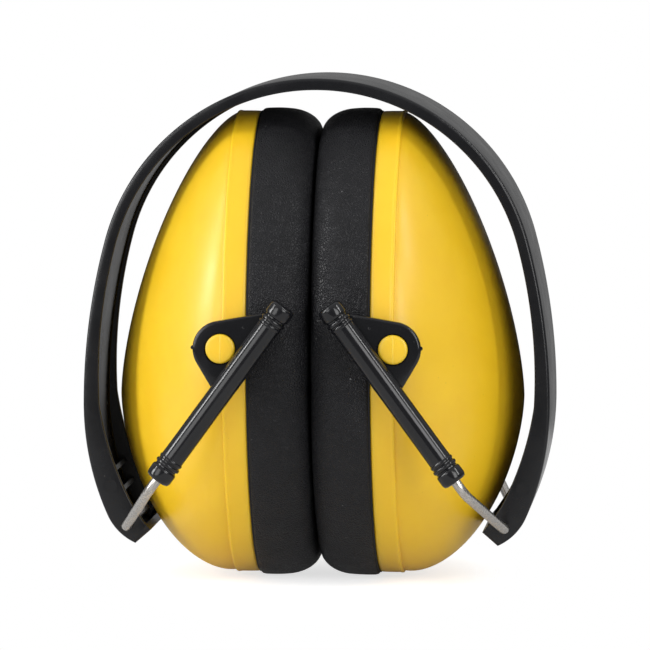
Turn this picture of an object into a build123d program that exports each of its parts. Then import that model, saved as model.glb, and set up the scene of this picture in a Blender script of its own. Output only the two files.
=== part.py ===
from build123d import *
import os
from math import atan2, cos, hypot, radians, sin, sqrt

# Folding earmuff, folded flat for storage: both cups lie inside the arch of the
# headband with their cushions facing. X is across the head, Y front (-) to rear,
# Z up. X = 0 is the plane where the cushions meet, and Z = 0 is the cushions'
# lowest point. Each piece is drawn for the right side (+X) and mirrored.

os.makedirs("parts", exist_ok=True)

# ---- driving dimensions (mm) ----

# cushion: skin over a foam ring on a stiff plate
cushion_height = 110.6
cushion_width = 90.6
cushion_thickness = 12.9
cushion_edge_round = 5.4
ear_opening_height = 68.0
ear_opening_width = 44.0
skin = 0.9
foam_gap = 0.15
half_gap_between_cushions = 0.15
plate_thickness = 1.2
plate_inset = 0.7
plate_snap_wall = 1.5
plate_snap_height = 2.6
snap_gap = 0.15

# cup shell: a straight lip, then an egg-shaped dome, with a button front and rear
shell_inset = 0.8
lip_width = 5.6
lip_step = 0.4
dome_depth = 28.0
dome_drop = 12.4
dome_fullness = 1.6
dome_drop_law = 1.15
dome_tip_share = 0.99
dome_sections = 7
shell_wall = 2.2
button_rise = 1.9
button_neck_radius = 2.6
button_head_radius = 3.3
button_head_thickness = 1.3
button_proud = 0.3

# acoustic foam in the bottom of the cup
liner_gap = 0.4
liner_face_depth = 12.0

# yoke wire and the sliders on its legs
wire_diameter = 2.3
wire_running_gap = 0.08
tube_diameter = 5.4
tube_above_button = 16.8
tube_below_button = 32.9
tube_offset = 6.1
tube_end_wall = 2.0
tube_to_cup_gap = 0.6
collar_diameter = 6.1
collar_length = 3.6
ring_diameter = 6.2
ring_width = 0.8
ring_groove = 0.7
eye_radius = 6.4
eye_thickness = 2.4
eye_hole_gap = 0.1
eye_recess_gap = 0.4
eye_recess_depth = 1.3
eye_web_above = 15.6
eye_web_below = 9.6
eye_to_cup_gap = 0.5
base_past_flange = 3.6
base_bend_radius = 4.0
leg_bend_radius = 4.5
leg_bend_before_tube = 3.6
leg_inside_tube = 43.0

# headband: a channel with its flanges turned in, swelling towards each end
band_width = 40.0
web = 1.7
flange = 1.8
flange_depth = 2.75
flange_depth_at_waist = 3.75
flange_depth_at_end = 6.4
gap_over_cups = 5.9
gap_beside_cups = 5.1
crown_turn = 75.0
waist_height = 41.7
lower_radius = 64.0
lower_turn = 24.0
heel_radius = 13.0
heel_turn = 42.0
tip_face = 4.8
tip_face_angle = 139.0
pivot_past_lower_arc = 4.0
pivot_depth = 3.6
flex_seam_angle = 25.0
seam_gap = 0.1
rib_thickness = 1.2
rib_steps = (7.5, 12.5)
rib_depth = 3.4

# ---- worked-out places, right side ----

cushion_centre = cushion_height / 2
cushion_back = half_gap_between_cushions + cushion_thickness
rim_x = cushion_back + plate_thickness
step_x = rim_x + lip_width
dome_top_x = step_x + dome_depth
shell_half_height = cushion_height / 2 - shell_inset
shell_half_width = cushion_width / 2 - shell_inset
button_x = step_x
button_z = cushion_centre + button_rise
eye_inner_y = cushion_width / 2 + eye_to_cup_gap
eye_outer_y = eye_inner_y + eye_thickness
tube_y = cushion_width / 2 + tube_to_cup_gap + collar_diameter / 2
tube_radius = tube_diameter / 2
wire_radius = wire_diameter / 2
bore_radius = wire_radius + wire_running_gap

# The arch clears the folded cups above and beside. Its crown arc and side arc are
# tangent, and the side arc ends upright at the waist.
band_top = cushion_height + gap_over_cups + web
band_half = dome_top_x + gap_beside_cups + web
turn_share = (1 - sin(radians(crown_turn))) / cos(radians(crown_turn))
crown_radius = (band_half - turn_share * (band_top - waist_height)) / (
    sin(radians(crown_turn)) - turn_share * (1 - cos(radians(crown_turn)))
)
crown_drop = crown_radius * (1 - cos(radians(crown_turn)))
side_radius = (band_top - crown_drop - waist_height) / cos(radians(crown_turn))
side_turn = 90 - crown_turn

# End of the lower arc, and the wire's pivot beside it
lower_heading = radians(-90 - lower_turn)
lower_end_x = band_half - lower_radius * (1 - cos(radians(lower_turn)))
lower_end_z = waist_height - lower_radius * sin(radians(lower_turn))
along_x, along_z = cos(lower_heading), sin(lower_heading)
inward_x, inward_z = along_z, -along_x
pivot_x = lower_end_x + pivot_past_lower_arc * along_x + pivot_depth * inward_x
pivot_z = lower_end_z + pivot_past_lower_arc * along_z + pivot_depth * inward_z

# The legs of the yoke run past the buttons on the side of the cushions
reach = hypot(button_x - pivot_x, button_z - pivot_z)
button_along_leg = sqrt(reach**2 - tube_offset**2)
leg_angle = atan2(button_z - pivot_z, button_x - pivot_x) + atan2(tube_offset, button_along_leg)
leg_x, leg_z = cos(leg_angle), sin(leg_angle)
tube_start = button_along_leg - tube_below_button
tube_end = button_along_leg + tube_above_button

# Where each arm of the band is taken to bend: on the outer surface of the crown
seam = radians(flex_seam_angle)
seam_x = crown_radius * sin(seam)
seam_z = band_top - crown_radius * (1 - cos(seam))


def dome_share(depth_share):
    """Size of the dome's section, as a share of the lip, at a share of its depth."""
    return (1 - depth_share**dome_fullness) ** (1 / dome_fullness)


def dome_loft(wall, start_share, end_share):
    """Dome between two shares of its depth, made smaller all round by a wall."""
    depth = dome_depth - wall
    with BuildPart() as dome:
        for i in range(dome_sections):
            share = start_share + (end_share - start_share) * i / (dome_sections - 1)
            size = dome_share(share)
            centre_z = cushion_centre - dome_drop * share**dome_drop_law
            with BuildSketch(Plane.YZ.offset(step_x + depth * share)):
                with Locations((0, centre_z)):
                    Ellipse(
                        (shell_half_width - lip_step - wall) * size,
                        (shell_half_height - lip_step - wall) * size,
                    )
        loft()
    return dome.part


def cushion_ring(inset, front_x, back_x, edge_round):
    """Oval ring of the cushion's outline, inset all round, with rounded front edges."""
    with BuildPart() as ring:
        with BuildSketch(Plane.YZ.offset(front_x)):
            with Locations((0, cushion_centre)):
                Ellipse(cushion_width / 2 - inset, cushion_height / 2 - inset)
                Ellipse(
                    ear_opening_width / 2 + inset,
                    ear_opening_height / 2 + inset,
                    mode=Mode.SUBTRACT,
                )
        extrude(amount=back_x - front_x)
        fillet(ring.edges().group_by(Axis.X)[0], edge_round)
    return ring.part


def cushion_foam():
    """Foam ring that the skin wraps."""
    inset = skin + foam_gap
    return cushion_ring(
        inset,
        half_gap_between_cushions + inset,
        cushion_back - foam_gap,
        cushion_edge_round - inset,
    )


def cushion_cover():
    """Skin, open at the back where the plate closes it."""
    outside = cushion_ring(0, half_gap_between_cushions, cushion_back, cushion_edge_round)
    inside = cushion_ring(
        skin, half_gap_between_cushions + skin, cushion_back, cushion_edge_round - skin
    )
    with BuildPart() as piece:
        add(outside)
        add(inside, mode=Mode.SUBTRACT)
    return piece.part


def cushion_plate():
    """Oval plate under the cushion, with the wall that snaps into the cup's mouth."""
    snap_half_width = shell_half_width - shell_wall - snap_gap
    snap_half_height = shell_half_height - shell_wall - snap_gap
    with BuildPart() as piece:
        with BuildSketch(Plane.YZ.offset(cushion_back)):
            with Locations((0, cushion_centre)):
                Ellipse(cushion_width / 2 - plate_inset, cushion_height / 2 - plate_inset)
                Ellipse(ear_opening_width / 2, ear_opening_height / 2, mode=Mode.SUBTRACT)
        extrude(amount=plate_thickness)
        with BuildSketch(Plane.YZ.offset(rim_x)):
            with Locations((0, cushion_centre)):
                Ellipse(snap_half_width, snap_half_height)
                Ellipse(
                    snap_half_width - plate_snap_wall,
                    snap_half_height - plate_snap_wall,
                    mode=Mode.SUBTRACT,
                )
        extrude(amount=plate_snap_height)
    return piece.part


def cup_shell():
    """Cup with its front and rear buttons, moulded in one."""
    cavity_half_width = shell_half_width - shell_wall
    cavity_half_height = shell_half_height - shell_wall
    with BuildPart() as cavity:
        with BuildSketch(Plane.YZ.offset(rim_x)):
            with Locations((0, cushion_centre)):
                Ellipse(cavity_half_width, cavity_half_height)
        extrude(amount=lip_width)
        add(dome_loft(shell_wall, 0, dome_tip_share))
    with BuildPart() as piece:
        with BuildSketch(Plane.YZ.offset(rim_x)):
            with Locations((0, cushion_centre)):
                Ellipse(shell_half_width, shell_half_height)
        extrude(amount=lip_width)
        add(dome_loft(0, 0, dome_tip_share))
        head_y = eye_outer_y + button_proud
        for side in (-1, 1):
            with BuildSketch(Plane.XZ.offset(side * (shell_half_width - shell_wall))):
                with Locations((button_x, button_z)):
                    Circle(button_neck_radius)
            extrude(amount=side * (head_y - shell_half_width + shell_wall))
            with BuildSketch(Plane.XZ.offset(side * (head_y - button_head_thickness))):
                with Locations((button_x, button_z)):
                    Circle(button_head_radius)
            extrude(amount=side * button_head_thickness)
        add(cavity.part, mode=Mode.SUBTRACT)
    return piece.part


def foam_liner():
    """Soft pad that fills the bottom of the cup."""
    start = liner_face_depth / dome_depth
    return dome_loft(shell_wall + liner_gap, start, dome_tip_share)


def slider(side):
    """Slider for one leg: a ringed tube closed at the top, and an eye for the button."""
    tube_plane = Plane(
        origin=(pivot_x, -side * tube_y, pivot_z), x_dir=(0, 1, 0), z_dir=(leg_x, 0, leg_z)
    )
    eye_plane = Plane.XZ.offset(side * eye_inner_y)
    foot_x = pivot_x + button_along_leg * leg_x
    foot_z = pivot_z + button_along_leg * leg_z
    with BuildPart() as piece:
        with BuildSketch(tube_plane.offset(tube_start)):
            Circle(tube_radius)
        extrude(amount=tube_end - tube_start)
        for end, way in ((tube_start, 1), (tube_end, -1)):
            with BuildSketch(tube_plane.offset(end)):
                Circle(collar_diameter / 2)
            extrude(amount=way * collar_length)
            ring_at = end + way * (collar_length + ring_groove)
            with BuildSketch(tube_plane.offset(ring_at)):
                Circle(ring_diameter / 2)
            extrude(amount=way * ring_width)
        with BuildSketch(eye_plane):
            with BuildLine():
                CenterArc((button_x, button_z), eye_radius, 0, 360)
                Line(
                    (foot_x - eye_web_below * leg_x, foot_z - eye_web_below * leg_z),
                    (foot_x + eye_web_above * leg_x, foot_z + eye_web_above * leg_z),
                )
            make_hull()
        extrude(amount=side * eye_thickness)
        with BuildSketch(eye_plane):
            with Locations((button_x, button_z)):
                Circle(button_neck_radius + eye_hole_gap)
        extrude(amount=side * eye_thickness, mode=Mode.SUBTRACT)
        with BuildSketch(Plane.XZ.offset(side * eye_outer_y)):
            with Locations((button_x, button_z)):
                Circle(button_head_radius + eye_recess_gap)
        extrude(amount=-side * eye_recess_depth, mode=Mode.SUBTRACT)
        with BuildSketch(tube_plane.offset(tube_start)):
            Circle(bore_radius)
        extrude(amount=tube_end - tube_start - tube_end_wall, mode=Mode.SUBTRACT)
    return piece.part


def yoke_wire():
    """Bent wire: a base across the band's end, splayed arms, and two parallel legs."""
    wire_plane = Plane(
        origin=(pivot_x, 0, pivot_z), x_dir=(0, 1, 0), z_dir=(leg_z, 0, -leg_x)
    )
    base_y = band_width / 2 + base_past_flange
    leg_bend = tube_start - leg_bend_before_tube
    leg_end = tube_start + leg_inside_tube
    with BuildPart() as piece:
        with BuildLine(wire_plane) as path:
            FilletPolyline(
                (-tube_y, leg_end),
                (-tube_y, leg_bend),
                (-base_y, 0),
                (base_y, 0),
                (tube_y, leg_bend),
                (tube_y, leg_end),
                radius=(leg_bend_radius, base_bend_radius, base_bend_radius, leg_bend_radius),
            )
        with BuildSketch(Plane(origin=path.line @ 0, z_dir=path.line % 0)):
            Circle(wire_radius)
        sweep()
    return piece.part


def arch_line(depth):
    """Arch seen from the front, a depth in from its outer surface, as far as the heel."""
    crown = JernArc((0, band_top - depth), (1, 0), crown_radius - depth, -crown_turn)
    side = JernArc(crown @ 1, crown % 1, side_radius - depth, -side_turn)
    lower = JernArc(side @ 1, side % 1, lower_radius - depth, -lower_turn)
    heel = JernArc(lower @ 1, lower % 1, heel_radius - depth, -heel_turn)
    return crown, side, lower, heel


def half_band():
    """Right half of the channel, with the ribs across its end and the wire's hole."""
    tip_x, tip_z = cos(radians(tip_face_angle)), sin(radians(tip_face_angle))
    outer_y = band_width / 2
    with BuildPart() as band:
        # the two flanges
        for start_y in (-outer_y, outer_y - flange):
            with BuildSketch(Plane.XZ.offset(-start_y)):
                with BuildLine():
                    heel = arch_line(0)[-1]
                    tip = PolarLine(heel @ 1, tip_face, tip_face_angle)
                    inner_crown = JernArc(
                        (0, band_top - flange_depth),
                        (1, 0),
                        crown_radius - flange_depth,
                        -crown_turn,
                    )
                    swell = Spline(
                        inner_crown @ 1,
                        (band_half - flange_depth_at_waist, waist_height),
                        (
                            lower_end_x + flange_depth_at_end * inward_x,
                            lower_end_z + flange_depth_at_end * inward_z,
                        ),
                        tangents=[inner_crown % 1, (along_x, along_z)],
                    )
                    Line(swell @ 1, tip @ 1)
                    Line((0, band_top - flange_depth), (0, band_top))
                make_face()
            extrude(amount=-flange)
        # the web, and the wall that closes the tip
        with BuildSketch(Plane.XZ.offset(outer_y)):
            with BuildLine():
                heel = arch_line(0)[-1]
                tip = PolarLine(heel @ 1, tip_face, tip_face_angle)
                tip_inside = (tip @ 1) + Vector(tip_z, -tip_x) * web
                Line(tip @ 1, tip_inside)
                Line(tip_inside, arch_line(web)[-1] @ 1)
                Line((0, band_top - web), (0, band_top))
            make_face()
        extrude(amount=-band_width)
        # ribs across the channel above the wire
        for step in rib_steps:
            foot_x = pivot_x - step * along_x - (pivot_depth - web / 2) * inward_x
            foot_z = pivot_z - step * along_z - (pivot_depth - web / 2) * inward_z
            rib_plane = Plane(
                origin=(foot_x, outer_y - flange, foot_z),
                x_dir=(inward_x, 0, inward_z),
                z_dir=(0, -1, 0),
            )
            with BuildSketch(rib_plane):
                Rectangle(rib_depth, rib_thickness, align=(Align.MIN, Align.CENTER))
            extrude(amount=band_width - 2 * flange)
        with BuildSketch(Plane.XZ.offset(outer_y)):
            with Locations((pivot_x, pivot_z)):
                Circle(bore_radius)
        extrude(amount=-band_width, mode=Mode.SUBTRACT)
    return band.part


def finish(piece, name):
    """Name a piece and write it."""
    piece.label = name
    export_step(piece, f"parts/{name}.step")


def finish_pair(right_piece, name):
    """Write a right-hand piece and its left-hand twin."""
    with BuildPart() as left_piece:
        mirror(right_piece, about=Plane.YZ)
    finish(right_piece, f"right_{name}")
    finish(left_piece.part, f"left_{name}")


# ---- headband: one moulding, cut where its arms are taken to bend ----

seam_plane = Plane(origin=(seam_x, 0, seam_z), z_dir=(cos(seam), 0, -sin(seam)))
channel = half_band()

with BuildPart() as crown:
    add(channel)
    split(bisect_by=seam_plane, keep=Keep.BOTTOM)
    mirror(about=Plane.YZ)
finish(crown.part, "headband_crown")

with BuildPart() as right_arm:
    add(channel)
    split(bisect_by=seam_plane.offset(seam_gap), keep=Keep.TOP)
finish(right_arm.part, "headband_right_arm")

with BuildPart() as left_arm:
    mirror(right_arm.part, about=Plane.YZ)
finish(left_arm.part, "headband_left_arm")

# ---- yokes, sliders, cups and cushions ----

finish_pair(yoke_wire(), "yoke_wire")
finish_pair(slider(1), "front_slider")
finish_pair(slider(-1), "rear_slider")
finish_pair(cup_shell(), "cup_shell")
finish_pair(foam_liner(), "foam_liner")
finish_pair(cushion_plate(), "cushion_plate")
finish_pair(cushion_foam(), "cushion_foam")
finish_pair(cushion_cover(), "cushion_cover")
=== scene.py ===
import math

import bmesh
import bpy
from mathutils import Matrix, Vector, noise


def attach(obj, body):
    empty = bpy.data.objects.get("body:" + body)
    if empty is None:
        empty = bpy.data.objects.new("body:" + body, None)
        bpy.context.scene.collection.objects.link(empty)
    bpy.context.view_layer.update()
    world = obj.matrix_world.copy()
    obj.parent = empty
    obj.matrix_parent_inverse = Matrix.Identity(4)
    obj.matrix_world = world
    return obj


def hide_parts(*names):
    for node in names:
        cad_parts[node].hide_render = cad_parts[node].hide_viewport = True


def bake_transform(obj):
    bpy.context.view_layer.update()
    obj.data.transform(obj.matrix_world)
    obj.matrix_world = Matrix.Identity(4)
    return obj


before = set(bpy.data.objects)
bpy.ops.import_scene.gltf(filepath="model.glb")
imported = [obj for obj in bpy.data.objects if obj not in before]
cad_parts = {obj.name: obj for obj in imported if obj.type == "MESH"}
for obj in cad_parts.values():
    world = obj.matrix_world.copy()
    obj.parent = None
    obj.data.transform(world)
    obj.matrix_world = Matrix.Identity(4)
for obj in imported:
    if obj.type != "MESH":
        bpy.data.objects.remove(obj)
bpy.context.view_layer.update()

# Shapes are worked out in millimetres for the right side (+X) and brought to metres at the end.
MM = 0.001
SIDES = (("right", 1), ("left", -1))

# cushion, cup and band, as the construction has them
cushion_back = 13.05
cushion_ring_width = 22.3
cushion_flat_x = 0.1
cushion_half_width = 45.3
cushion_half_height = 55.3
opening_half_width = 22.0
opening_half_height = 34.0
cup_centre_z = 55.3
rim_x = 14.25
step_x = 19.85
shell_half_width = 44.5
shell_half_height = 54.5
shell_wall = 2.2
lip_step = 0.4
dome_depth = 28.0
dome_drop = 12.4
dome_fullness = 1.6
dome_drop_law = 1.15
button = Vector((19.85, 57.2))
button_head_y = 48.5
eye_inner_y = 45.8
eye_outer_y = 48.2
pivot = Vector((44.2012, 13.4789))
leg = Vector((-0.589444, 0.807809))
tube_y = 48.95
tube_start = 16.772
tube_end = 66.472
button_along_leg = 49.672
band_top = 118.2
band_half_width = 20.0
crown_radius = 51.337
side_radius = 148.56
lower_radius = 64.0
heel_radius = 13.0
web = 1.7
flange = 1.8
channel_depth = 2.75
end_face_heading = 139
end_face_length = 4.8
corner_share = 0.76


# ---- mesh helpers ----

def new_parts(got, kind):
    return [g for g in got["geom"] if isinstance(g, kind)]


def x_oval(x, half_y, half_z, centre_z=cup_centre_z):
    """Takes a unit circle to an upright oval across X."""
    return Matrix(((0, 0, 1, x), (half_y, 0, 0, 0), (0, half_z, 0, centre_z), (0, 0, 0, 1)))


def y_circle(centre, y, radius):
    """Takes a unit circle to a circle across Y round a point (x, z)."""
    return Matrix(((radius, 0, 0, centre.x), (0, 0, 1, y), (0, radius, 0, centre.y), (0, 0, 0, 1)))


def leg_circle(along, radius, y):
    """Takes a unit circle to a circle across the leg, a distance along it from the wire's pivot."""
    at = pivot + leg * along
    return Matrix(
        (
            (0, radius * leg.y, leg.x, at.x),
            (radius, 0, 0, y),
            (0, -radius * leg.x, leg.y, at.y),
            (0, 0, 0, 1),
        )
    )


def edges_round(verts):
    """The edges that meet these vertices, once each."""
    return list(dict.fromkeys(e for v in verts for e in v.link_edges))


def extrude_on(bm, edges):
    """Extrudes edges in place, and gives the new vertices and the new edges between them."""
    got = bmesh.ops.extrude_edge_only(bm, edges=edges)
    verts = new_parts(got, bmesh.types.BMVert)
    kept = set(verts)
    return verts, [e for e in new_parts(got, bmesh.types.BMEdge) if set(e.verts) <= kept]


def run_rings(bm, places, segments, closed=False, ends=(False, False)):
    """Extrudes a unit circle from each place to the next.

    Ends close to a point, or the last ring meets the first."""
    verts = bmesh.ops.create_circle(bm, radius=1, segments=segments, matrix=places[0])["verts"]
    edges = edges_round(verts)
    first_verts, first_edges = verts, edges
    for before, after in zip(places, places[1:]):
        verts, edges = extrude_on(bm, edges)
        bmesh.ops.transform(bm, matrix=after @ before.inverted(), verts=verts)
    if closed:
        bmesh.ops.bridge_loops(bm, edges=first_edges + edges)
    for wanted, ring in zip(ends, (first_verts, verts)):
        if wanted:
            middle = sum((v.co for v in ring), Vector()) / len(ring)
            bmesh.ops.pointmerge(bm, verts=ring, merge_co=middle)


def finish_mesh(bm, name, sign=1):
    """Makes a millimetre bmesh an object in metres, mirrored where sign is -1."""
    bmesh.ops.scale(bm, vec=(sign * MM, MM, MM), verts=bm.verts)
    bmesh.ops.recalc_face_normals(bm, faces=bm.faces)
    for face in bm.faces:
        face.smooth = True
    mesh = bpy.data.meshes.new(name)
    bm.to_mesh(mesh)
    bm.free()
    made = bpy.data.objects.new(name, mesh)
    bpy.context.scene.collection.objects.link(made)
    return made


def sharpen(piece, degrees):
    """Keeps the flat look where faces meet at more than this angle."""
    piece.data.set_sharp_from_angle(angle=math.radians(degrees))


def dome_place(share_angle, wall, extra=0.0):
    """Place of the dome's section at an angle from the lip (0) to the tip (90 degrees)."""
    power = 2 / dome_fullness
    size = max(math.cos(share_angle), 1e-6) ** power
    share = math.sin(share_angle) ** power
    return x_oval(
        step_x + (dome_depth - wall) * share,
        (shell_half_width - lip_step - wall) * size**1.25 + extra,
        (shell_half_height - lip_step - wall) * size + extra,
        cup_centre_z - dome_drop * share**dome_drop_law,
    )


# ---- materials ----

def add_group(name, inputs, outputs):
    tree = bpy.data.node_groups.new(name, "ShaderNodeTree")
    for label, kind, value in inputs:
        socket = tree.interface.new_socket(label, in_out="INPUT", socket_type=kind)
        socket.default_value = value
    for label, kind in outputs:
        tree.interface.new_socket(label, in_out="OUTPUT", socket_type=kind)
    return tree, tree.nodes.new("NodeGroupInput"), tree.nodes.new("NodeGroupOutput")


def node(tree, kind, settings=None, **links):
    """Adds a node. Settings are its properties, and links go to its inputs: a socket or a value.

    An input is named, or numbered as i0, i1 and so on."""
    made = tree.nodes.new(kind)
    for key, value in (settings or {}).items():
        setattr(made, key, value)
    for key, value in links.items():
        numbered = key[0] == "i" and key[1:].isdigit()
        wire_in(tree, made.inputs[int(key[1:]) if numbered else key.replace("_", " ")], value)
    return made


def wire_in(tree, socket, value):
    if isinstance(value, bpy.types.NodeSocket):
        tree.links.new(value, socket)
    else:
        socket.default_value = value


def maths(tree, operation, first, second=0.0):
    made = node(tree, "ShaderNodeMath", {"operation": operation}, i0=first, i1=second)
    return made.outputs[0]


def ramp(tree, value, low, high, to_low=0.0, to_high=1.0):
    made = node(
        tree, "ShaderNodeMapRange", {"clamp": True, "interpolation_type": "SMOOTHSTEP"},
        i0=value, i1=low, i2=high, i3=to_low, i4=to_high,
    )
    return made.outputs[0]


def mix_colour(tree, share, first, second):
    made = node(tree, "ShaderNodeMix", {"data_type": "RGBA"})
    wire_in(tree, made.inputs[0], share)
    wire_in(tree, made.inputs[6], first)
    wire_in(tree, made.inputs[7], second)
    return made.outputs[2]


def make_mottle():
    """Slow unevenness of a moulded or coated surface, between two values."""
    tree, given, out = add_group(
        "mottle",
        [
            ("Scale", "NodeSocketFloat", 60.0),
            ("Low", "NodeSocketFloat", 0.0),
            ("High", "NodeSocketFloat", 1.0),
        ],
        [("Value", "NodeSocketFloat")],
    )
    place = node(tree, "ShaderNodeTexCoord").outputs["Object"]
    cloud = node(
        tree, "ShaderNodeTexNoise",
        Vector=place, Scale=given.outputs["Scale"], Detail=4.0, Roughness=0.6,
    )
    value = ramp(tree, cloud.outputs[0], 0.3, 0.7, given.outputs["Low"], given.outputs["High"])
    wire_in(tree, out.inputs["Value"], value)
    return tree


def make_dust():
    """Small specks scattered over a surface."""
    tree, given, out = add_group(
        "dust",
        [("Scale", "NodeSocketFloat", 700.0), ("Amount", "NodeSocketFloat", 0.1)],
        [("Mask", "NodeSocketFloat")],
    )
    place = node(tree, "ShaderNodeTexCoord").outputs["Object"]
    cell = node(tree, "ShaderNodeTexVoronoi", Vector=place, Scale=given.outputs["Scale"], Randomness=1.0)
    near = ramp(tree, cell.outputs["Distance"], 0.08, 0.2, 1.0, 0.0)
    patch = node(tree, "ShaderNodeTexNoise", Vector=place, Scale=90.0, Detail=2.0)
    where = ramp(tree, patch.outputs[0], 0.5, 0.68)
    pick = node(tree, "ShaderNodeTexWhiteNoise", Vector=cell.outputs["Position"])
    some = maths(tree, "LESS_THAN", pick.outputs[0], given.outputs["Amount"])
    wire_in(tree, out.inputs["Mask"], maths(tree, "MULTIPLY", maths(tree, "MULTIPLY", near, where), some))
    return tree


def make_grain():
    """Pebbled grain of an embossed skin, with fine creases between the pebbles."""
    tree, given, out = add_group(
        "skin_grain",
        [("Scale", "NodeSocketFloat", 900.0), ("Wrinkle", "NodeSocketFloat", 0.5)],
        [("Height", "NodeSocketFloat"), ("Crease", "NodeSocketFloat")],
    )
    place = node(tree, "ShaderNodeTexCoord").outputs["Object"]
    warp = node(tree, "ShaderNodeTexNoise", Vector=place, Scale=260.0, Detail=3.0)
    shift = node(tree, "ShaderNodeVectorMath", {"operation": "SCALE"}, i0=warp.outputs["Color"], Scale=0.0022)
    bent = node(tree, "ShaderNodeVectorMath", {"operation": "ADD"}, i0=place, i1=shift.outputs[0]).outputs[0]
    cell = node(
        tree, "ShaderNodeTexVoronoi", {"feature": "DISTANCE_TO_EDGE"},
        Vector=bent, Scale=given.outputs["Scale"], Randomness=1.0,
    )
    pebble = ramp(tree, cell.outputs[0], 0.0, 0.22)
    folds = node(
        tree, "ShaderNodeTexNoise", {"noise_type": "RIDGED_MULTIFRACTAL"},
        Vector=bent, Scale=150.0, Detail=4.0, Roughness=0.55,
    )
    fold = maths(tree, "MULTIPLY", ramp(tree, folds.outputs[0], 0.2, 1.4, 1.0, 0.0), given.outputs["Wrinkle"])
    wire_in(tree, out.inputs["Height"], maths(tree, "ADD", pebble, fold))
    wire_in(tree, out.inputs["Crease"], maths(tree, "SUBTRACT", 1.0, pebble))
    return tree


MOTTLE = make_mottle()
DUST = make_dust()
GRAIN = make_grain()


def use(tree, group, **values):
    made = tree.nodes.new("ShaderNodeGroup")
    made.node_tree = group
    for key, value in values.items():
        wire_in(tree, made.inputs[key], value)
    return made.outputs


def start_material(name, **constants):
    material = bpy.data.materials.new(name)
    material.use_nodes = True
    tree = material.node_tree
    shader = tree.nodes["Principled BSDF"]
    for key, value in constants.items():
        shader.inputs[key.replace("_", " ")].default_value = value
    return material, tree, shader


def bump(tree, height, distance, strength):
    made = node(tree, "ShaderNodeBump", Height=height, Distance=distance, Strength=strength)
    return made.outputs[0]


def make_yellow_plastic():
    material, tree, shader = start_material(
        "yellow_plastic", Specular_IOR_Level=0.6, IOR=1.5, Subsurface_Weight=0.45, Subsurface_Scale=0.007,
        Subsurface_Radius=(1.0, 0.9, 0.45),
    )
    shade = use(tree, MOTTLE, Scale=45.0)["Value"]
    colour = mix_colour(tree, shade, (0.88, 0.495, 0.012, 1), (0.92, 0.53, 0.016, 1))
    place = node(tree, "ShaderNodeTexCoord").outputs["Object"]
    across, depth, _ = node(tree, "ShaderNodeSeparateXYZ", Vector=place).outputs
    off_line = maths(tree, "SUBTRACT", maths(tree, "ABSOLUTE", across), step_x * MM)
    line = ramp(tree, maths(tree, "ABSOLUTE", off_line), 0.00006, 0.00016, 1.0, 0.0)
    on_button = maths(tree, "GREATER_THAN", maths(tree, "ABSOLUTE", depth), 0.047)
    line = maths(tree, "MULTIPLY", line, on_button)
    # Along the parting ridge across each button the yellow is painted paler: a painted highlight on the
    # ridge, which the bump below also raises.
    colour = mix_colour(tree, maths(tree, "MULTIPLY", line, 0.35), colour, (0.95, 0.72, 0.12, 1))
    dust = use(tree, DUST, Scale=900.0, Amount=0.12)["Mask"]
    colour = mix_colour(tree, maths(tree, "MULTIPLY", dust, 0.3), colour, (0.35, 0.2, 0.02, 1))
    tree.links.new(colour, shader.inputs["Base Color"])
    tree.links.new(use(tree, MOTTLE, Scale=130.0, Low=0.36, High=0.44)["Value"], shader.inputs["Roughness"])
    peel = node(tree, "ShaderNodeTexNoise", Vector=place, Scale=900.0, Detail=2.0).outputs[0]
    height = maths(tree, "ADD", maths(tree, "MULTIPLY", peel, 0.12), line)
    tree.links.new(bump(tree, height, 0.00005, 0.7), shader.inputs["Normal"])
    return material


def make_black_plastic(name, rough_low, rough_high, level, peel_strength=0.6):
    material, tree, shader = start_material(name, Specular_IOR_Level=level, IOR=1.5)
    shade = use(tree, MOTTLE, Scale=70.0)["Value"]
    colour = mix_colour(tree, shade, (0.005, 0.0052, 0.0064, 1), (0.0075, 0.0077, 0.009, 1))
    dust = use(tree, DUST, Scale=1100.0, Amount=0.1)["Mask"]
    colour = mix_colour(tree, maths(tree, "MULTIPLY", dust, 0.35), colour, (0.12, 0.115, 0.11, 1))
    tree.links.new(colour, shader.inputs["Base Color"])
    rough = use(tree, MOTTLE, Scale=160.0, Low=rough_low, High=rough_high)["Value"]
    tree.links.new(rough, shader.inputs["Roughness"])
    place = node(tree, "ShaderNodeTexCoord").outputs["Object"]
    peel = node(tree, "ShaderNodeTexNoise", Vector=place, Scale=750.0, Detail=3.0).outputs[0]
    tree.links.new(bump(tree, peel, 0.00002, peel_strength), shader.inputs["Normal"])
    return material


def make_cushion_skin():
    material, tree, shader = start_material("cushion_skin", Specular_IOR_Level=0.27, IOR=1.5)
    grain = use(tree, GRAIN, Scale=1700.0, Wrinkle=1.0)
    shade = use(tree, MOTTLE, Scale=50.0)["Value"]
    colour = mix_colour(tree, shade, (0.0055, 0.0055, 0.0068, 1), (0.009, 0.009, 0.0108, 1))
    colour = mix_colour(tree, maths(tree, "MULTIPLY", grain["Crease"], 0.5), colour, (0.007, 0.007, 0.008, 1))
    dust = use(tree, DUST, Scale=800.0, Amount=0.07)["Mask"]
    colour = mix_colour(tree, maths(tree, "MULTIPLY", dust, 0.6), colour, (0.3, 0.3, 0.3, 1))
    tree.links.new(colour, shader.inputs["Base Color"])
    rough = use(tree, MOTTLE, Scale=110.0, Low=0.36, High=0.48)["Value"]
    rough = maths(tree, "ADD", rough, maths(tree, "MULTIPLY", grain["Crease"], 0.1))
    tree.links.new(rough, shader.inputs["Roughness"])
    tree.links.new(bump(tree, grain["Height"], 0.00014, 0.9), shader.inputs["Normal"])
    return material


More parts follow.
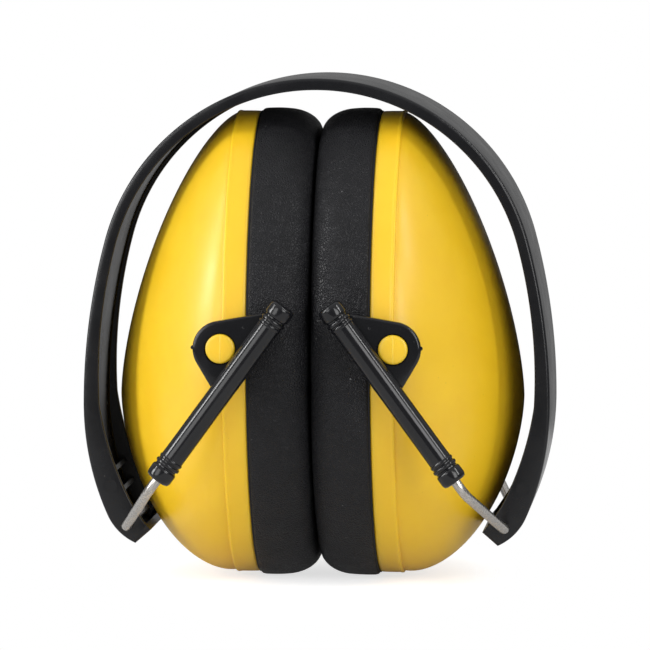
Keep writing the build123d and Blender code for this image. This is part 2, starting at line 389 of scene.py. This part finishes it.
def make_steel():
    """Drawn wire: fine streaks along its legs."""
    material, tree, shader = start_material("steel_wire", Metallic=1.0)
    place = node(tree, "ShaderNodeTexCoord").outputs["Object"]
    parts = node(tree, "ShaderNodeSeparateXYZ", Vector=place).outputs
    across = maths(tree, "ABSOLUTE", parts[0])
    turned = []
    for from_across, from_up in ((leg.y, -leg.x), (leg.x, leg.y)):
        first = maths(tree, "MULTIPLY", across, from_across)
        turned.append(maths(tree, "ADD", first, maths(tree, "MULTIPLY", parts[2], from_up)))
    side, run = turned
    slow_run = maths(tree, "MULTIPLY", run, 0.03)
    drawn = node(tree, "ShaderNodeCombineXYZ", i0=side, i1=parts[1], i2=slow_run).outputs[0]
    streak = node(tree, "ShaderNodeTexNoise", Vector=drawn, Scale=2600.0, Detail=2.0).outputs[0]
    colour = mix_colour(tree, ramp(tree, streak, 0.35, 0.65), (0.42, 0.4, 0.375, 1), (0.54, 0.52, 0.495, 1))
    tree.links.new(colour, shader.inputs["Base Color"])
    tree.links.new(ramp(tree, streak, 0.3, 0.7, 0.2, 0.32), shader.inputs["Roughness"])
    tree.links.new(bump(tree, streak, 0.00001, 0.5), shader.inputs["Normal"])
    return material


def make_foam():
    material, tree, shader = start_material("liner_foam", Specular_IOR_Level=0.2, Roughness=0.95)
    place = node(tree, "ShaderNodeTexCoord").outputs["Object"]
    cells = node(tree, "ShaderNodeTexVoronoi", {"feature": "SMOOTH_F1"}, Vector=place, Scale=850.0)
    cell = cells.outputs["Distance"]
    # The pores are painted darker than the cell walls round them: painted shade in the pore hollows, which
    # the bump below sinks.
    colour = mix_colour(tree, ramp(tree, cell, 0.1, 0.6), (0.012, 0.012, 0.013, 1), (0.07, 0.07, 0.075, 1))
    shade = use(tree, MOTTLE, Scale=90.0, Low=0.0, High=0.4)["Value"]
    colour = mix_colour(tree, shade, colour, (0.04, 0.04, 0.043, 1))
    tree.links.new(colour, shader.inputs["Base Color"])
    tree.links.new(bump(tree, cell, 0.0006, 0.9), shader.inputs["Normal"])
    return material


yellow_plastic = make_yellow_plastic()
band_plastic = make_black_plastic("band_plastic", 0.2, 0.28, 0.35)
slider_plastic = make_black_plastic("slider_plastic", 0.12, 0.2, 0.4, 0.25)
plate_plastic = make_black_plastic("plate_plastic", 0.5, 0.62, 0.3)
cushion_skin = make_cushion_skin()
steel_wire = make_steel()
liner_foam = make_foam()


def paint(piece, material):
    piece.data.materials.clear()
    piece.data.materials.append(material)


# ---- cup shells ----

def build_shell():
    bm = bmesh.new()
    turns = [math.radians(a) for a in (89.6, 88, 86, 83, 79, 74, 68, 61, 54, 46, 38, 30, 22, 15, 9, 4, 0)]
    inner_half_width = shell_half_width - shell_wall
    inner_half_height = shell_half_height - shell_wall
    places = [dome_place(a, shell_wall) for a in turns]
    places.append(x_oval(step_x - 0.3, inner_half_width, inner_half_height))
    places.append(x_oval(rim_x + 0.4, inner_half_width, inner_half_height))
    lip = (
        (rim_x + 0.1, -shell_wall + 0.1), (rim_x, -shell_wall + 0.4), (rim_x, -0.6), (rim_x + 0.12, -0.22),
        (rim_x + 0.45, -0.03), (rim_x + 1.0, 0.0), (rim_x + 2.6, 0.03), (step_x - 1.15, 0.03),
        (step_x - 0.95, 0.05), (step_x - 0.75, 0.12), (step_x - 0.5, 0.15), (step_x - 0.28, 0.12),
        (step_x - 0.12, 0.02), (step_x - 0.05, -0.25), (step_x + 0.02, -0.36),
    )
    for x, proud in lip:
        places.append(x_oval(x, shell_half_width + proud, shell_half_height + proud))
    outer_turns = [0.5, 1.5, 3] + [3 + 84 * i / 36 for i in range(1, 37)] + [88.2, 89.2, 89.7]
    places += [dome_place(math.radians(a), 0) for a in outer_turns]
    run_rings(bm, places, 160, ends=(True, True))
    for side in (-1, 1):
        head = (
            (shell_half_width - 1.6, 2.6), (button_head_y - 1.3, 2.6), (button_head_y - 1.3, 3.15),
            (button_head_y - 1.15, 3.4), (button_head_y - 0.5, 3.4), (button_head_y - 0.2, 3.3),
            (button_head_y - 0.06, 3.05), (button_head_y, 2.7), (button_head_y + 0.03, 1.4),
            (button_head_y + 0.04, 0.05),
        )
        run_rings(bm, [y_circle(button, side * y, r) for y, r in head], 64, ends=(True, True))
    return bm


for side, sign in SIDES:
    shell = finish_mesh(build_shell(), f"{side}_cup_shell_skin", sign)
    sharpen(shell, 50)
    paint(shell, yellow_plastic)
    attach(shell, f"{side}_cup")
    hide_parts(f"{side}_cup_shell")


# ---- cushions ----

def ring_place(x, inset):
    """Place of a cushion section, an inset in from its outline towards the ear opening."""
    share = inset / cushion_ring_width
    return x_oval(
        x,
        cushion_half_width + (opening_half_width - cushion_half_width) * share,
        cushion_half_height + (opening_half_height - cushion_half_height) * share,
    )


def build_cushion():
    bm = bmesh.new()
    line = [
        (cushion_back, 0.68), (13.72, 0.66), (13.8, 0.5), (13.7, 0.3), (13.3, 0.14),
        (12.6, 0.08), (11.4, 0.06), (10.4, 0.06), (9.2, 0.08),
    ]
    for i in range(12):
        a = math.radians(8 + 82 * i / 11)
        line.append((8.4 - 8.2 * math.sin(a), 5.9 - 5.75 * math.cos(a)))
    line += [(0.18, 8.2), (0.17, 10.5), (0.17, 12.8), (0.18, 15.0)]
    for i in range(9):
        a = math.radians(90 - 90 * i / 8)
        line.append((6.6 - 6.4 * math.sin(a), 16.6 + 5.4 * math.cos(a)))
    line += [(8.5, 22.1), (10.5, 22.15), (12.3, 22.1), (13.0, 21.8)]
    line += [(cushion_back, inset) for inset in (21.2, 17.0, 12.0, 7.0, 3.5)]
    run_rings(bm, [ring_place(x, inset) for x, inset in line], 168, closed=True)
    return bm


cloth_pressure = 4.0
cloth_frames = 20
held_from_x = 12.7
swell_limit = 0.7


def swell(piece, limit):
    """Blows the cushion up a little as cloth held at its plate, no point moving past the limit."""
    rest = [v.co.copy() for v in piece.data.vertices]
    held = piece.vertex_groups.new(name="held")
    held.add([i for i, co in enumerate(rest) if co.x > held_from_x * MM], 1.0, "REPLACE")
    cloth = piece.modifiers.new("Cloth", "CLOTH")
    cloth.settings.vertex_group_mass = "held"
    cloth.settings.use_pressure = True
    cloth.settings.uniform_pressure_force = cloth_pressure
    cloth.settings.effector_weights.gravity = 0.0
    cloth.point_cache.frame_start, cloth.point_cache.frame_end = 1, cloth_frames
    for number in range(1, cloth_frames + 1):
        bpy.context.scene.frame_set(number)
    view = piece.evaluated_get(bpy.context.evaluated_depsgraph_get())
    moved = [v.co.copy() for v in view.data.vertices]
    piece.modifiers.remove(cloth)
    for vertex, before, after in zip(piece.data.vertices, rest, moved):
        step = after - before
        if step.length > limit:
            step *= limit / step.length
        vertex.co = before + step
    bpy.context.scene.frame_set(1)


def settle_cushion(piece, seed):
    """Unevenness of a hand-filled pad, flat where the two cushions press together."""
    mesh = piece.data
    shift = Vector((seed, seed * 0.7, -seed))
    changes = []
    for vertex in mesh.vertices:
        co = vertex.co
        slow = noise.noise(co * 38 + shift) * 0.00022
        quick = noise.noise(co * 120 + shift) * 0.00007
        fixed = min(1.0, max(0.0, (12.6 * MM - co.x) / (2.5 * MM)))
        changes.append(vertex.normal * (slow + quick) * fixed)
    for vertex, change in zip(mesh.vertices, changes):
        vertex.co += change
        vertex.co.x = max(vertex.co.x, cushion_flat_x * MM)


swollen = finish_mesh(build_cushion(), "swollen_cushion")
swell(swollen, swell_limit * MM)
for side, sign in SIDES:
    cushion = bpy.data.objects.new(f"{side}_ear_cushion", swollen.data.copy())
    bpy.context.scene.collection.objects.link(cushion)
    settle_cushion(cushion, 3.0 * sign)
    if sign < 0:
        cushion.data.transform(Matrix.Scale(-1, 4, (1, 0, 0)))
        cushion.data.flip_normals()
    smooth = cushion.modifiers.new("smooth", "SUBSURF")
    smooth.levels = smooth.render_levels = 1
    paint(cushion, cushion_skin)
    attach(cushion, f"{side}_cup")
    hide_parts(f"{side}_cushion_cover", f"{side}_cushion_foam")
bpy.data.objects.remove(swollen)


# ---- sliders ----

def add_tube(bm, y):
    """Ringed tube, open below round the wire and rounded at the top."""
    start, end = tube_start, tube_end
    half = [(0, 2.3), (0.2, 2.72), (0.6, 2.97), (1.1, 3.05), (2.7, 3.05), (3.05, 2.97), (3.25, 2.78)]
    half += [(3.4, 2.64), (3.7, 2.64), (3.85, 2.82), (4.02, 3.0), (4.3, 3.05), (4.58, 3.0), (4.72, 2.85)]
    half += [(4.82, 2.7), (5.05, 2.7), (5.2, 2.84), (5.4, 2.93), (5.65, 2.93), (5.85, 2.84)]
    half += [(6.0, 2.72), (9, 2.7)]
    line = [(start + 6, 1.22), (start, 1.22), (start - 0.02, 1.9)]
    line += [(start + along, radius) for along, radius in half]
    line += [(end - along, radius) for along, radius in reversed(half)]
    line += [(end + 0.08, 1.5), (end + 0.1, 0.1)]
    run_rings(bm, [leg_circle(s, r, y) for s, r in line], 48, ends=(True, True))


def add_eye(bm, side):
    """Flat eye round the button, its web running out to the tube."""
    foot = pivot + leg * button_along_leg
    corners = [foot - leg * 9.6, foot + leg * 15.6]
    radius = 6.4
    low, high = corners[0] - button, corners[1] - button
    way = 1 if low.x * high.y - low.y * high.x > 0 else -1
    first = math.atan2(high.y, high.x) + way * math.acos(radius / high.length)
    last = math.atan2(low.y, low.x) - way * math.acos(radius / low.length)
    sweep = way * ((way * (last - first)) % math.tau)
    face_y, back_y = -side * eye_outer_y, -side * eye_inner_y
    steps = 40
    angles = [first + sweep * i / steps for i in range(steps + 1)]
    points = [button + radius * Vector((math.cos(a), math.sin(a))) for a in angles] + corners
    rim = [bm.verts.new((p.x, face_y, p.y)) for p in points]
    rim_edges = [bm.edges.new((a, b)) for a, b in zip(rim, rim[1:] + rim[:1])]
    hole = bmesh.ops.create_circle(bm, radius=1, segments=64, matrix=y_circle(button, face_y, 3.75))["verts"]
    hole_edges = edges_round(hole)
    bmesh.ops.triangle_fill(bm, edges=rim_edges + hole_edges, use_beauty=True)
    edges, before = hole_edges, y_circle(button, face_y, 3.75)
    for y, r in ((face_y + side * 1.3, 3.7), (face_y + side * 1.3, 2.7), (back_y, 2.7)):
        verts, edges = extrude_on(bm, edges)
        after = y_circle(button, y, r)
        bmesh.ops.transform(bm, matrix=after @ before.inverted(), verts=verts)
        before = after
    verts, back_edges = extrude_on(bm, rim_edges)
    bmesh.ops.translate(bm, vec=(0, back_y - face_y, 0), verts=verts)
    bmesh.ops.triangle_fill(bm, edges=back_edges + edges, use_beauty=True)
    bmesh.ops.bevel(
        bm, geom=rim_edges + back_edges, offset=0.7, offset_type="OFFSET", affect="EDGES",
        segments=4, profile=0.5, material=-1,
    )


def build_slider(side):
    bm = bmesh.new()
    add_eye(bm, side)
    add_tube(bm, -side * tube_y)
    nub = button + Vector((6.35, 0.3))
    places = [y_circle(nub, -side * y, r) for y, r in ((46.6, 0.5), (47.6, 0.5), (47.75, 0.3))]
    run_rings(bm, places, 12, ends=(True, True))
    dot = button + Vector((-5.4, 4.9))
    places = [y_circle(dot, -side * y, r) for y, r in ((48.0, 0.34), (48.26, 0.32), (48.36, 0.18))]
    run_rings(bm, places, 12, ends=(True, True))
    return bm


for side, sign in SIDES:
    for end, way in (("front", 1), ("rear", -1)):
        slider = finish_mesh(build_slider(way), f"{side}_{end}_slider_moulding", sign)
        sharpen(slider, 38)
        paint(slider, slider_plastic)
        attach(slider, f"{side}_sliders")
        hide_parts(f"{side}_{end}_slider")


# ---- headband ----

def walk_arc(at, heading, radius, turn, steps):
    """Points and headings along an arc that turns to the right, its first point left out."""
    centre = at + radius * Vector((math.sin(heading), -math.cos(heading)))
    found = []
    for i in range(1, steps + 1):
        h = heading - math.radians(turn) * i / steps
        found.append((centre + radius * Vector((-math.sin(h), math.cos(h))), h))
    return found


def band_stations():
    """Places along the half band, from the crown to the end.

    Each is the point outside, the inward way, the flange's edge point and the stretch at a corner."""
    line = [(Vector((0, band_top)), 0.0), (Vector((0.25, band_top)), 0.0)]
    start = Vector((0, band_top))
    crown = walk_arc(start, 0.0, crown_radius, 75, 60)
    side = walk_arc(crown[-1][0], crown[-1][1], side_radius, 15, 24)
    lower = walk_arc(side[-1][0], side[-1][1], lower_radius, 24, 20)
    heel = walk_arc(lower[-1][0], lower[-1][1], heel_radius, 42, 16)
    inward = lambda h: Vector((math.sin(h), -math.cos(h)))
    stations = []
    for p, h in line + crown:
        stations.append((p, inward(h), p + inward(h) * channel_depth, 1.0))
    for i, (p, h) in enumerate(side, 1):
        share = i / len(side)
        stations.append((p, inward(h), p + inward(h) * (channel_depth + 1.0 * share**2), 1.0))
    for i, (p, h) in enumerate(lower, 1):
        share = i / len(lower)
        depth = 3.75 + 2.65 * share * (1.4 - 0.4 * share)
        stations.append((p, inward(h), p + inward(h) * depth, 1.0))
    last, last_h = heel[-1]
    face_turn = math.radians(end_face_heading)
    face_way = Vector((math.cos(face_turn), math.sin(face_turn)))
    face_in = Vector((face_way.y, -face_way.x))
    edge_start = stations[-1][2]
    edge_end = last + end_face_length * face_way + 2.0 * face_in
    corner_in = (inward(last_h) + face_in).normalized()
    for i, (p, h) in enumerate(heel[:-1], 1):
        edge = edge_start.lerp(edge_end, corner_share * i / len(heel))
        stations.append((p, inward(h), edge, 1.0))
    corner_edge = edge_start.lerp(edge_end, corner_share)
    stations.append((last, corner_in, corner_edge, 1 / corner_in.dot(face_in)))
    for share in (0.25, 0.5, 0.75, 1.0):
        p = last + end_face_length * share * face_way
        edge = edge_start.lerp(edge_end, corner_share + 0.24 * share)
        stations.append((p, face_in, edge, 1.0))
    return stations


def build_band():
    """Half of the channel, run along the arch from its section at the crown."""
    bm = bmesh.new()
    tip_layer = bm.verts.layers.float.new("tip")
    depth_layer = bm.verts.layers.float.new("depth")
    stations = band_stations()
    half, inner = band_half_width, band_half_width - flange
    section = [
        (-half, 0), (half, 0), (half, channel_depth), (inner, channel_depth),
        (inner, web), (-inner, web), (-inner, channel_depth), (-half, channel_depth),
    ]
    verts = [bm.verts.new((0, y, -d)) for y, d in section]
    for a, b in zip(verts, verts[1:] + verts[:1]):
        bm.edges.new((a, b))
    outer = [v for v in bm.verts if v.co.z > -0.1]
    others = [v for v in bm.verts if v.co.z < -0.1]
    for corner, size in ((outer, 0.75), (others, 0.3)):
        bmesh.ops.bevel(
            bm, geom=corner, offset=size, offset_type="OFFSET", affect="VERTICES",
            segments=4, profile=0.5, material=-1,
        )
    bm.verts.ensure_lookup_table()
    for v in bm.verts:
        v[depth_layer] = -v.co.z
        v[tip_layer] = 1.0 if -v.co.z > channel_depth - 0.45 else 0.0
    edges = list(bm.edges)
    verts = list(bm.verts)
    for i, station in enumerate(stations):
        at, inward, edge, stretch = station
        to_edge = (edge - at).normalized()
        if i:
            verts, edges = extrude_on(bm, edges)
        for v in verts:
            d = v[depth_layer]
            if v[tip_layer] > 0.5:
                v.co.x, v.co.z = edge + to_edge * (d - channel_depth)
            else:
                v.co.x, v.co.z = at + inward * d * stretch
    bmesh.ops.contextual_create(bm, geom=edges)
    return bm


def add_ribs(bm):
    """Two ribs across the channel above the wire, and the discs left by the mould's pins."""
    lower_heading = math.radians(-114)
    along = Vector((math.cos(lower_heading), math.sin(lower_heading)))
    inward = Vector((along.y, -along.x))
    for step in (7.5, 12.5):
        foot = pivot - along * step - inward * (3.6 - web / 2)
        centre = foot + inward * 1.7
        turn = Matrix(
            (
                (inward.x, 0, along.x, centre.x),
                (0, 1, 0, 0),
                (inward.y, 0, along.y, centre.y),
                (0, 0, 0, 1),
            )
        )
        size = Matrix.Diagonal((3.4, 2 * (band_half_width - flange) + 0.4, 1.2, 1))
        cube = bmesh.ops.create_cube(bm, size=1, matrix=turn @ size)["verts"]
        rib_edges = edges_round(cube)
        bmesh.ops.bevel(
            bm, geom=rib_edges, offset=0.2, affect="EDGES", segments=2, profile=0.5, material=-1,
        )
    pin = pivot - along * 10.0 - inward * 0.2
    for y in (-band_half_width, band_half_width):
        out = 0.05 if y > 0 else -0.05
        places = [y_circle(pin, y - out * 4, 1.65), y_circle(pin, y + out, 1.65), y_circle(pin, y + out, 1.5)]
        run_rings(bm, places, 40, ends=(True, True))


# Each half of the band is built with its ribs and pin discs and takes the place of the construction's band
# pieces.
for side, sign in SIDES:
    bm = build_band()
    add_ribs(bm)
    band = finish_mesh(bm, f"headband_{side}_half", sign)
    sharpen(band, 45)
    paint(band, band_plastic)
    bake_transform(band)
    if sign > 0:
        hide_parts("headband_right_arm", "headband_crown")
    else:
        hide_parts("headband_left_arm")


# ---- construction pieces that show as they are ----

for side, sign in SIDES:
    for name, material in (
        ("yoke_wire", steel_wire), ("cushion_plate", plate_plastic), ("foam_liner", liner_foam),
    ):
        paint(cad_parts[f"{side}_{name}"], material)


# ---- floor, light and camera ----

floor_half = 0.3
floor_glow = 0.68
seen_floor_x, seen_floor_y = 0.048, 0.1


def make_floor():
    bm = bmesh.new()
    bmesh.ops.create_grid(bm, x_segments=2, y_segments=2, size=1)
    bmesh.ops.scale(bm, vec=(floor_half, floor_half, 1), verts=bm.verts)
    bmesh.ops.translate(bm, vec=(0, 0, -0.0002), verts=bm.verts)
    mesh = bpy.data.meshes.new("floor")
    bm.to_mesh(mesh)
    bm.free()
    floor = bpy.data.objects.new("floor", mesh)
    bpy.context.scene.collection.objects.link(floor)
    material, tree, shader = start_material("floor_card", Roughness=0.9, Specular_IOR_Level=0.1)
    shader.inputs["Base Color"].default_value = (0.62, 0.62, 0.62, 1)
    path = node(tree, "ShaderNodeLightPath")
    glint = maths(tree, "MULTIPLY", path.outputs["Is Glossy Ray"], 0.15)
    seen = maths(tree, "MAXIMUM", path.outputs["Is Camera Ray"], glint)
    shader.inputs["Emission Color"].default_value = (1, 1, 1, 1)
    tree.links.new(maths(tree, "MULTIPLY", seen, floor_glow), shader.inputs["Emission Strength"])
    # The camera sees the card only round the folded muffs' shadow, and light passes up through it,
    # so that it hides less of the opened cups, which hang below it.
    place = node(tree, "ShaderNodeTexCoord").outputs["Object"]
    x, y, _ = node(tree, "ShaderNodeSeparateXYZ", Vector=place).outputs
    across, deep = (
        maths(tree, "POWER", maths(tree, "DIVIDE", maths(tree, "ABSOLUTE", value), half), 2.0)
        for value, half in ((x, seen_floor_x), (y, seen_floor_y))
    )
    faded = ramp(tree, maths(tree, "ADD", across, deep), 0.4, 0.95)
    hidden = maths(tree, "MULTIPLY", path.outputs["Is Camera Ray"], faded)
    from_below = node(tree, "ShaderNodeNewGeometry").outputs["Backfacing"]
    front = maths(tree, "SUBTRACT", 1.0, from_below)
    solid = maths(tree, "MULTIPLY", front, maths(tree, "SUBTRACT", 1.0, hidden))
    tree.links.new(solid, shader.inputs["Alpha"])
    paint(floor, material)


def make_world():
    world = bpy.data.worlds.new("studio")
    world.use_nodes = True
    tree = world.node_tree
    back = tree.nodes["Background"]
    back.inputs["Color"].default_value = (1, 1, 1, 1)
    path = node(tree, "ShaderNodeLightPath")
    way = node(tree, "ShaderNodeTexCoord").outputs["Generated"]
    _, behind, rise = node(tree, "ShaderNodeSeparateXYZ", Vector=way).outputs
    backdrop = ramp(tree, behind, 0.8, 1.0, 0.0, 0.1)
    gloss = maths(tree, "ADD", ramp(tree, rise, 0.1, 0.9, 0.2, 0.7), backdrop)
    plain = 0.55
    glossy = path.outputs["Is Glossy Ray"]
    strength = node(tree, "ShaderNodeMix", {"data_type": "FLOAT"}, i0=glossy, i2=plain, i3=gloss)
    clear = maths(
        tree, "MAXIMUM", path.outputs["Is Camera Ray"], path.outputs["Is Transmission Ray"],
    )
    final = node(
        tree, "ShaderNodeMix", {"data_type": "FLOAT"}, i0=clear, i2=strength.outputs[0], i3=1.0,
    )
    tree.links.new(final.outputs[0], back.inputs["Strength"])
    bpy.context.scene.world = world


def add_lamp(name, place, aim, size, power):
    light = bpy.data.lights.new(name, "AREA")
    light.shape = "RECTANGLE"
    light.size, light.size_y = size
    light.energy = power
    lamp = bpy.data.objects.new(name, light)
    lamp.location = place
    lamp.rotation_euler = (Vector(aim) - Vector(place)).to_track_quat("-Z", "Y").to_euler()
    bpy.context.scene.collection.objects.link(lamp)


def make_camera():
    turn, rise, away = math.radians(4.4), math.radians(4.4), 1.5
    back = Vector((math.sin(turn) * math.cos(rise), -math.cos(turn) * math.cos(rise), math.sin(rise)))
    target = Vector((0.0006, 0, 0.05913))
    data = bpy.data.cameras.new("camera")
    data.sensor_width = 36
    data.lens = 351.3
    camera = bpy.data.objects.new("camera", data)
    camera.location = target + back * away
    camera.rotation_euler = (-back).to_track_quat("-Z", "Y").to_euler()
    bpy.context.scene.collection.objects.link(camera)
    bpy.context.scene.camera = camera


make_floor()
make_world()
middle = (0, 0, 0.06)
add_lamp("left_box", (-1.3, -0.4, 0.38), middle, (0.45, 0.7), 9)
add_lamp("front_box", (-0.75, -1.2, 0.38), middle, (0.7, 0.7), 5)
add_lamp("right_box", (0.85, -1.1, 0.38), middle, (0.6, 0.7), 6.8)
add_lamp("left_strip", (-1.0, -0.4, 0.85), middle, (0.1, 0.8), 5)
add_lamp("right_strip", (1.0, -0.4, 0.85), middle, (0.1, 0.8), 4.5)
make_camera()
bpy.context.scene.view_settings.view_transform = "Standard"
